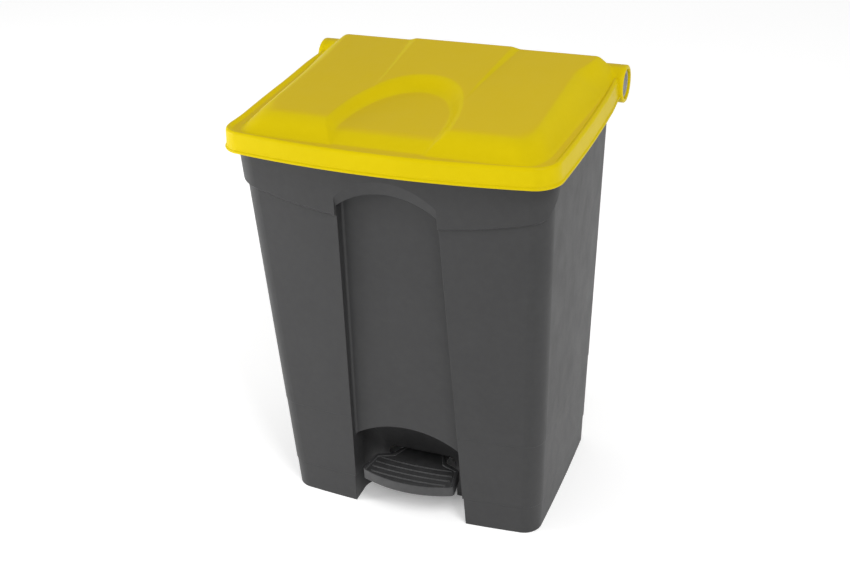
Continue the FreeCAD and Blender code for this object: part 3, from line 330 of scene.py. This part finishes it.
# The raised panel, as (y, x) or (y, z) points of its straight lines.
PANEL_FRONT_Y, PANEL_FRONT_Z = -147.0, 660.0
RIDGE_Y, RIDGE_Z = 160.0, 671.0
PANEL_FOOT_LINE = (-165, 224), (160, 240)
PANEL_EDGE_LINE = (-138, 203), (160, 199.5)
PANEL_FOOT_Y, PANEL_FOOT_BOW, PANEL_FRONT_SLOPE = -179.0, 0.00006, 19.5 / 31
PANEL_CORNER_SOFTNESS = 30
PANEL_EDGE_SOFTNESS, PANEL_REAR_EDGE_SOFTNESS = 10, 5
PANEL_REAR_START_Y, PANEL_REAR_END_Y = 80, 155
RIGHT_CORNER_REACH = 12.0
REAR_DROP_SLOPE, REAR_DROP, REAR_SOFTNESS = 1.86, 3, 5

# The raised band that widens from the scoop to the ridge.
BAND_START_Y, BAND_RISE = -55.0, lid_high.z - RIDGE_Z
BAND_HALF_WIDTH, BAND_CREST_FLARE = 69, 7
BAND_FOOT_FLARE, BAND_FOOT_POWER, BAND_LEAST_FLANK = 23, 1.2, 4

# The hand scoop, a superellipse in plan behind its mouth.
SCOOP_CENTRE_X = -4.0
SCOOP_HALF_WIDTH, SCOOP_MOUTH_Y, SCOOP_REACH, SCOOP_POWER = 86.0, -150.0, 173.0, 2.2
SCOOP_MOUTH_TAPER = 3
SCOOP_FLOOR_Z, SCOOP_FLOOR_SLOPE = 650.0, 0.01
SCOOP_RAMP_Y, SCOOP_RAMP_SLOPE, SCOOP_RAMP_SOFTNESS = -148, 10 / 29, 4
SCOOP_WALL, SCOOP_FOOT_SOFTNESS = 10.0, 6

SCOOP_RIM_SOFTNESS, LEDGE_SOFTNESS, BARREL_SOFTNESS = 7, 2, 3

# The grid that fills the top, as (start, end, step): finer where the shape turns.
GRID_ACROSS = (0, 58, 4), (58, 100, 2), (100, 192, 4), (192, 240, 2)
GRID_ALONG = (-196, -134, 1.8), (-134, 0, 3.5), (0, 36, 2), (36, 144, 3.5), (144, HINGE_Y, 1.8)
GRID_CLEARANCE, HINGE_LINE_CLEARANCE = 1.4, 1.5
MERGE_DISTANCE = 1e-4

# The small lip under the barrel, over the push rod's channel.
CHANNEL_LIP_HALF_WIDTH = 17.2
CHANNEL_LIP_FRONT, CHANNEL_LIP_BACK = -5.1, 1.2
CHANNEL_LIP_Z = 626.0, 629.0

SHARP_EDGE_DEG = 40


def clamp(value, low=0.0, high=1.0):
    return max(low, min(high, value))


def ease(start, end, value):
    t = clamp((value - start) / (end - start))
    return t * t * (3 - 2 * t)


def soft_min(a, b, k):
    h = clamp(0.5 + 0.5 * (b - a) / k)
    return b * (1 - h) + a * h - k * h * (1 - h)


def soft_max(a, b, k):
    return -soft_min(-a, -b, k)


def on_line(place, start, end):
    """The value at a place on the straight line through two (place, value) points."""
    return start[1] + (place - start[0]) * (end[1] - start[1]) / (end[0] - start[0])


def stations(*stretches):
    """Numbers from stretch to stretch, each given as (start, end, step), with both ends kept."""
    values = []
    for start, end, step in stretches:
        count = max(1, round(abs(end - start) / step))
        values += [start + (end - start) * i / count for i in range(count)]
    return values + [stretches[-1][1]]


def side_x(y):
    """The right-hand edge: slightly bowed, and flush with the barrel's end at the back."""
    return HALF_WIDTH - SIDE_BOW * y * y - SIDE_TUCK * ease(SIDE_TUCK_START_Y, SIDE_TUCK_END_Y, y)


def front_y(x):
    return FRONT_Y + FRONT_BOW * x * x


def side_normal(y):
    return Vector((1.0, 2 * SIDE_BOW * y)).normalized()


def front_normal(x):
    return Vector((2 * FRONT_BOW * x, -1.0)).normalized()


def corner_centre():
    """Centre of the arc that touches both the side and the front."""
    centre = Vector((HALF_WIDTH - CORNER_RADIUS, FRONT_Y + CORNER_RADIUS))
    for _ in range(CORNER_SEARCH_STEPS):
        y = centre.y + CORNER_RADIUS * side_normal(centre.y).y
        x = centre.x + CORNER_RADIUS * front_normal(centre.x).x
        centre = Vector((side_x(y) - CORNER_RADIUS * side_normal(y).x,
                         front_y(x) - CORNER_RADIUS * front_normal(x).y))
    return centre


CORNER = corner_centre()


def right_outline():
    """Points and outward normals from the front's middle, round the corner, to the hinge line."""
    first = front_normal(CORNER.x)
    last = side_normal(CORNER.y)
    points = []
    for x in stations((0, CORNER.x + CORNER_RADIUS * first.x, OUTLINE_STEP))[:-1]:
        points.append((Vector((x, front_y(x))), front_normal(x)))
    start, end = math.atan2(first.y, first.x), math.atan2(last.y, last.x)
    for turn in stations((start, end, CORNER_STEP_RADIANS)):
        normal = Vector((math.cos(turn), math.sin(turn)))
        points.append((CORNER + CORNER_RADIUS * normal, normal))
    side_start = CORNER.y + CORNER_RADIUS * last.y
    for y in stations((side_start, REAR_OUTLINE_Y, OUTLINE_STEP),
                      (REAR_OUTLINE_Y, SKIRT_END_Y, REAR_OUTLINE_STEP),
                      (SKIRT_END_Y, HINGE_Y, HINGE_OUTLINE_STEP))[1:]:
        normal = side_normal(y) if y < SIDE_TUCK_START_Y else Vector((1.0, 0.0))
        points.append((Vector((side_x(y), y)), normal))
    return points


def lid_outline():
    """The whole outline, from the hinge line on the left to the hinge line on the right."""
    right = right_outline()
    left = [(Vector((-p.x, p.y)), Vector((-n.x, n.y))) for p, n in right[1:]]
    return list(reversed(left)) + right


def barrel_top(y):
    return HINGE_Z + math.sqrt(max(0.0, BARREL_RADIUS ** 2 - (y - HINGE_Y) ** 2))


def panel_plane(y):
    return on_line(y, (PANEL_FRONT_Y, PANEL_FRONT_Z), (RIDGE_Y, RIDGE_Z))


def band_height(x, y):
    u = clamp((y - BAND_START_Y) / (RIDGE_Y - BAND_START_Y))
    crest = BAND_HALF_WIDTH + BAND_CREST_FLARE * u
    foot = max(BAND_HALF_WIDTH + BAND_FOOT_FLARE * u ** BAND_FOOT_POWER, crest + BAND_LEAST_FLANK)
    return BAND_RISE * u * ease(foot, crest, abs(x))


def panel_height(x, y):
    """The raised panel: its sloping top with the band, its flanks, its front and its rear drop."""
    top = panel_plane(y)
    to_rear = ease(PANEL_REAR_START_Y, PANEL_REAR_END_Y, y)
    foot_x = on_line(y, *PANEL_FOOT_LINE)
    edge_x = on_line(y, *PANEL_EDGE_LINE)
    if x > 0:
        edge_x += RIGHT_CORNER_REACH * to_rear
    side = LEDGE_Z + (foot_x - abs(x)) * (top - LEDGE_Z) / (foot_x - edge_x)
    front = LEDGE_Z + (y - PANEL_FOOT_Y - PANEL_FOOT_BOW * x * x) * PANEL_FRONT_SLOPE
    flanks = soft_min(side, front, PANEL_CORNER_SOFTNESS)
    rear = RIDGE_Z + BAND_RISE - (y - RIDGE_Y) * REAR_DROP_SLOPE - REAR_DROP
    softness = PANEL_EDGE_SOFTNESS + (PANEL_REAR_EDGE_SOFTNESS - PANEL_EDGE_SOFTNESS) * to_rear
    return soft_min(soft_min(top + band_height(x, y), flanks, softness), rear, REAR_SOFTNESS)


def scoop_height(x, y):
    """The hand scoop: a flat floor behind a bullet-shaped wall, and a ramp out at the front."""
    x -= SCOOP_CENTRE_X
    if y > SCOOP_MOUTH_Y:
        across = (abs(x) / SCOOP_HALF_WIDTH) ** SCOOP_POWER
        along = ((y - SCOOP_MOUTH_Y) / SCOOP_REACH) ** SCOOP_POWER
        outside = ((across + along) ** (1 / SCOOP_POWER) - 1) * SCOOP_HALF_WIDTH
    else:
        outside = abs(x) - (SCOOP_HALF_WIDTH + (y - SCOOP_MOUTH_Y) / SCOOP_MOUTH_TAPER)
    top = panel_plane(y)
    flat = SCOOP_FLOOR_Z + (y - SCOOP_RAMP_Y) * SCOOP_FLOOR_SLOPE
    ramp = SCOOP_FLOOR_Z + (y - SCOOP_RAMP_Y) * SCOOP_RAMP_SLOPE
    floor = soft_min(flat, ramp, SCOOP_RAMP_SOFTNESS)
    wall = top + outside * (top - floor) / SCOOP_WALL
    return soft_max(floor, wall, SCOOP_FOOT_SOFTNESS)


def top_height(x, y, inset):
    z = soft_min(panel_height(x, y), scoop_height(x, y), SCOOP_RIM_SOFTNESS)
    z = soft_max(z, LEDGE_Z, LEDGE_SOFTNESS)
    z = max(z, LIP_Z - (LIP_Z - LEDGE_Z) * ease(LIP_FALL_START, LIP_FALL_END, inset))
    if y > HINGE_Y - BARREL_RADIUS:
        z = soft_max(z, barrel_top(y), BARREL_SOFTNESS)
    return z


def skirt_profile():
    """(inset, height) from the lip's top, round its edge and down to the bead along the bottom."""
    points = []
    for turn in stations((0, 90, LIP_STEP_DEG))[1:]:
        angle = math.radians(turn)
        points.append((LIP_INSET - LIP_RADIUS * math.sin(angle),
                       LIP_Z - LIP_RADIUS * (1 - math.cos(angle))))
    wall_top = (LIP_Z - LIP_RADIUS, LIP_INSET - LIP_RADIUS)
    wall_foot = (BOTTOM_Z, SKIRT_FOOT_INSET)
    for z in stations((wall_top[0], BOTTOM_Z + SKIRT_END_RISE, SKIRT_STEP))[1:]:
        points.append((on_line(z, wall_foot, wall_top), z))
    return points + [(inset, BOTTOM_Z + rise) for inset, rise in BEAD_PROFILE]


def well_inside(x, y, inset):
    x = abs(x)
    if x > CORNER.x and y < CORNER.y:
        return math.hypot(x - CORNER.x, y - CORNER.y) < CORNER_RADIUS - inset
    return x < side_x(y) - inset and y > front_y(x) + inset


def lid_top_points(outline):
    """Plan points of the top: its edge and hinge line, then the rings and the grid within them."""
    right_half = stations(*GRID_ACROSS)
    across = [-x for x in reversed(right_half[1:])] + right_half
    along = stations(*GRID_ALONG)
    edge = [p - LIP_INSET * n for p, n in outline]
    widest = abs(edge[0].x) - HINGE_LINE_CLEARANCE
    hinge_line = [Vector((x, HINGE_Y)) for x in reversed(across) if abs(x) < widest]
    inner = []
    for ring in LIP_RINGS:
        inner += [(p - ring * n, ring) for p, n in outline if p.y < HINGE_Y - 1]
    keep_off = LIP_RINGS[-1] + GRID_CLEARANCE
    inner += [(Vector((x, y)), keep_off) for y in along[:-1] for x in across
              if well_inside(x, y, keep_off)]
    return edge, hinge_line, inner


def pull_left(x, y):
    if x > LEFT_PULL_START_X:
        return x
    across = ease(LEFT_PULL_START_X, LEFT_PULL_END_X, x)
    along = ease(*LEFT_PULL_RISES_Y, y) * (1 - ease(*LEFT_PULL_FALLS_Y, y))
    return x + LEFT_PULL * across * along


def barrel_profile(x0, x1, side):
    """(x, radius) round a segment's section; the outermost has a recess for the pin's head."""
    full, slim = BARREL_RADIUS, BARREL_RADIUS - BARREL_INLAY
    inner_end = [(x0, PIN_HOLE_RADIUS), (x0, slim - 1), (x0 + 1, slim)]
    if x1 != BARREL_END:
        return inner_end + [(x1 - 1, slim), (x1, slim - 1), (x1, PIN_HOLE_RADIUS)]
    floor = x1 - HEAD_DEPTH
    x1 += RIGHT_END_REACH if side > 0 else LEFT_END_REACH
    rounded_rim = [(x1 - 2.5, full), (x1 - 1.2, full - 0.4), (x1 - 0.3, full - 1.3), (x1, full - 2.5)]
    recess = [(x1, HEAD_RADIUS + 0.6), (x1 - 0.6, HEAD_RADIUS), (floor, HEAD_RADIUS),
              (floor, PIN_HOLE_RADIUS)]
    return inner_end + [(floor + 1.6, slim), (floor + 2.6, full)] + rounded_rim + recess


def add_barrel_segment(bm, x0, x1, side):
    profile = barrel_profile(x0, x1, side)
    rings = []
    for step in range(BARREL_SIDES):
        angle = 2 * math.pi * step / BARREL_SIDES
        outward_y, outward_z = math.cos(angle), math.sin(angle)
        rings.append([bm.verts.new((side * x, HINGE_Y + r * outward_y, HINGE_Z + r * outward_z))
                      for x, r in profile])
    for ring, following in zip(rings, rings[1:] + rings[:1]):
        for i in range(len(profile)):
            j = (i + 1) % len(profile)
            bm.faces.new((ring[i], ring[j], following[j], following[i]))


def add_channel_lip(bm):
    skin_y = HINGE_Y - BARREL_RADIUS
    corners = [bm.verts.new((x, skin_y + dy, z))
               for x in (-CHANNEL_LIP_HALF_WIDTH, CHANNEL_LIP_HALF_WIDTH)
               for dy in (CHANNEL_LIP_FRONT, CHANNEL_LIP_BACK)
               for z in CHANNEL_LIP_Z]
    for side in ((0, 1, 3, 2), (4, 6, 7, 5), (0, 4, 5, 1), (2, 3, 7, 6), (0, 2, 6, 4), (1, 5, 7, 3)):
        bm.faces.new([corners[i] for i in side])


def join_rows(bm, above, row):
    for k in range(len(row) - 1):
        bm.faces.new((above[k], row[k], row[k + 1], above[k + 1]))


def add_top(bm, outline):
    """The lid's top skin. Returns its vertices along the outline and along the hinge line."""
    edge, hinge_line, inner = lid_top_points(outline)
    plan = edge + hinge_line + [p for p, _ in inner]
    count = len(edge) + len(hinge_line)
    insets = [LIP_INSET] * count + [inset for _, inset in inner]
    border = [(i, (i + 1) % count) for i in range(count)]
    points, _, triangles, origins, _, _ = delaunay_2d_cdt(plan, border, [], 1, MERGE_DISTANCE)
    top = []
    for point, origin in zip(points, origins):
        height = top_height(point.x, point.y, insets[origin[0]])
        top.append(bm.verts.new((point.x, point.y, height)))
    for triangle in triangles:
        bm.faces.new([top[i] for i in triangle])
    at = {origin[0]: vertex for vertex, origin in zip(top, origins)}
    return [at[i] for i in range(len(edge))], [at[i] for i in range(len(edge), count)]


def add_skirt(bm, outline, edge):
    """The skirt hangs from the outline, from the hinge barrel on one side to the other."""
    hung = [(vertex, p, n) for vertex, (p, n) in zip(edge, outline) if p.y < SKIRT_END_Y + 0.1]
    above = [vertex for vertex, _, _ in hung]
    for inset, z in skirt_profile():
        row = [bm.verts.new((*(p - inset * n), z)) for _, p, n in hung]
        join_rows(bm, above, row)
        above = row


def add_rolled_back(bm, edge, hinge_line):
    """Behind the hinge line the top runs on round the barrel."""
    above = [edge[-1]] + hinge_line + [edge[0]]
    for turn in stations((BARREL_TOP_DEG, BARREL_TAIL_DEG, BARREL_STEP_DEG))[1:]:
        angle = math.radians(turn)
        y = HINGE_Y + BARREL_RADIUS * math.cos(angle)
        z = HINGE_Z + BARREL_RADIUS * math.sin(angle)
        row = [bm.verts.new((vertex.co.x, y, z)) for vertex in above]
        join_rows(bm, above, row)
        above = row


def face_outward(bm):
    bmesh.ops.recalc_face_normals(bm, faces=bm.faces)
    highest = max(bm.faces, key=lambda face: face.calc_center_median().z)
    if highest.normal.z < 0:
        bmesh.ops.reverse_faces(bm, faces=bm.faces)


def thicken(bm, wall):
    """Turn the open surface into a closed shell by adding its inner side and its rims."""
    bm.normal_update()
    faces, rims = list(bm.faces), [edge for edge in bm.edges if edge.is_boundary]
    inner = {v: bm.verts.new(v.co - wall * v.normal) for v in list(bm.verts)}
    rim_pairs = []
    for edge in rims:
        loop = edge.link_loops[0]
        rim_pairs.append((loop.vert, loop.link_loop_next.vert))
    for face in faces:
        bm.faces.new([inner[v] for v in reversed(face.verts)])
    for a, b in rim_pairs:
        bm.faces.new((b, a, inner[a], inner[b]))


def build_lid():
    outline = lid_outline()
    bm = bmesh.new()
    edge, hinge_line = add_top(bm, outline)
    add_skirt(bm, outline, edge)
    add_rolled_back(bm, edge, hinge_line)
    face_outward(bm)
    thicken(bm, WALL)
    for vertex in bm.verts:
        vertex.co.x = pull_left(vertex.co.x, vertex.co.y)
    for x0, x1 in BARREL_SEGMENTS:
        for side in (1, -1):
            add_barrel_segment(bm, x0, x1, side)
    add_channel_lip(bm)
    bmesh.ops.recalc_face_normals(bm, faces=bm.faces)
    bmesh.ops.scale(bm, vec=(MM, MM, MM), verts=bm.verts)

    mesh = bpy.data.meshes.new("lid_moulding")
    bm.to_mesh(mesh)
    bm.free()
    mesh.materials.append(FINISHES["lid_plastic"])
    mesh.shade_smooth()
    mesh.set_sharp_from_angle(angle=math.radians(SHARP_EDGE_DEG))
    piece = bpy.data.objects.new("lid_moulding", mesh)
    scene.collection.objects.link(piece)
    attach(piece, "lid_body")
    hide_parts("lid")


build_lid()


# ---------------------------------------------------------------- stage, light and camera

SKY_AT_HORIZON, SKY_OVERHEAD = 0.40, 0.64
FLOOR_SIZE = 40.0
FLOOR_DARKER, FLOOR_PALER = rgb(0.90, 0.90, 0.90), rgb(0.93, 0.93, 0.93)
FLOOR_GLOW = 0.35
# The glow fades out under the middle of the bin, so that its underside stays dark. Metres.
DARK_PATCH_CENTRE = (0.0, 0.05, 0.0)
DARK_PATCH_INNER, DARK_PATCH_OUTER = 0.12, 0.19

# Degrees, metres, and the lens and its sensor in millimetres. The shifts are parts of the width.
VIEW_AZIMUTH, VIEW_ELEVATION, VIEW_ROLL = 22.329, 29.728, -2.693
VIEW_TARGET, VIEW_DISTANCE = Vector((0.000243, 0.000015, 0.339861)), 1.98605
LENS, SENSOR_WIDTH = 53.91911, 36.0
SHIFT_X, SHIFT_Y = -0.0132318, -0.0028071


def build_floor():
    bpy.ops.mesh.primitive_plane_add(size=FLOOR_SIZE, location=(0, 0, 0))
    floor = bpy.context.object
    floor.name = "floor"
    n = Nodes("floor_paper")
    tone = n.mix(n.noise(1.5, 2.0), FLOOR_DARKER, FLOOR_PALER)
    from_patch = n.vector_math("DISTANCE", n.place(), DARK_PATCH_CENTRE)
    glow = n.remap(from_patch, DARK_PATCH_INNER, DARK_PATCH_OUTER, 0.0, FLOOR_GLOW)
    n.set_shader(Base_Color=tone, Roughness=0.9, Emission_Color=rgb(1, 1, 1), Emission_Strength=glow)
    floor.data.materials.append(n.material)


def soft_light(name, place, target, size, power):
    light = bpy.data.lights.new(name, "AREA")
    light.shape = "RECTANGLE"
    light.size, light.size_y = size
    light.energy = power
    lamp = bpy.data.objects.new(name, light)
    lamp.location = place
    lamp.rotation_euler = (Vector(target) - Vector(place)).to_track_quat("-Z", "Y").to_euler()
    scene.collection.objects.link(lamp)


def build_lights():
    """A high soft light from the front right and a low fill from the left."""
    soft_light("key_right", place=(1.6, -1.4, 2.8), target=(0, 0, 0.55), size=(1.1, 1.1), power=43)
    soft_light("fill_left", place=(-2.7, -1.1, 0.8), target=(0, 0, 0.3), size=(1.2, 1.0), power=52)


def build_sky():
    """A pale sky, brighter overhead than at the horizon."""
    world = bpy.data.worlds.new("studio")
    world.use_nodes = True
    tree = world.node_tree
    direction = tree.nodes.new("ShaderNodeTexCoord").outputs["Generated"]
    split = tree.nodes.new("ShaderNodeSeparateXYZ")
    fade = tree.nodes.new("ShaderNodeMapRange")
    fade.inputs["To Min"].default_value = SKY_AT_HORIZON
    fade.inputs["To Max"].default_value = SKY_OVERHEAD
    sky = tree.nodes["Background"]
    sky.inputs["Color"].default_value = rgb(1, 1, 1)
    tree.links.new(direction, split.inputs["Vector"])
    tree.links.new(split.outputs["Z"], fade.inputs["Value"])
    tree.links.new(fade.outputs["Result"], sky.inputs["Strength"])
    scene.world = world


def build_camera():
    azimuth, elevation, roll = (math.radians(a) for a in (VIEW_AZIMUTH, VIEW_ELEVATION, VIEW_ROLL))
    back = Vector((math.sin(azimuth) * math.cos(elevation),
                   -math.cos(azimuth) * math.cos(elevation),
                   math.sin(elevation)))
    level_right = Vector((math.cos(azimuth), math.sin(azimuth), 0))
    level_up = back.cross(level_right)
    right = level_right * math.cos(roll) + level_up * math.sin(roll)
    up = level_up * math.cos(roll) - level_right * math.sin(roll)
    data = bpy.data.cameras.new("camera")
    data.sensor_width = SENSOR_WIDTH
    data.lens = LENS
    data.shift_x, data.shift_y = SHIFT_X, SHIFT_Y
    camera = bpy.data.objects.new("camera", data)
    turn = Matrix((right, up, back)).transposed().to_4x4()
    camera.matrix_world = Matrix.Translation(VIEW_TARGET + back * VIEW_DISTANCE) @ turn
    scene.collection.objects.link(camera)
    scene.camera = camera


build_floor()
build_lights()
build_sky()
build_camera()
scene.view_settings.view_transform = "Standard"
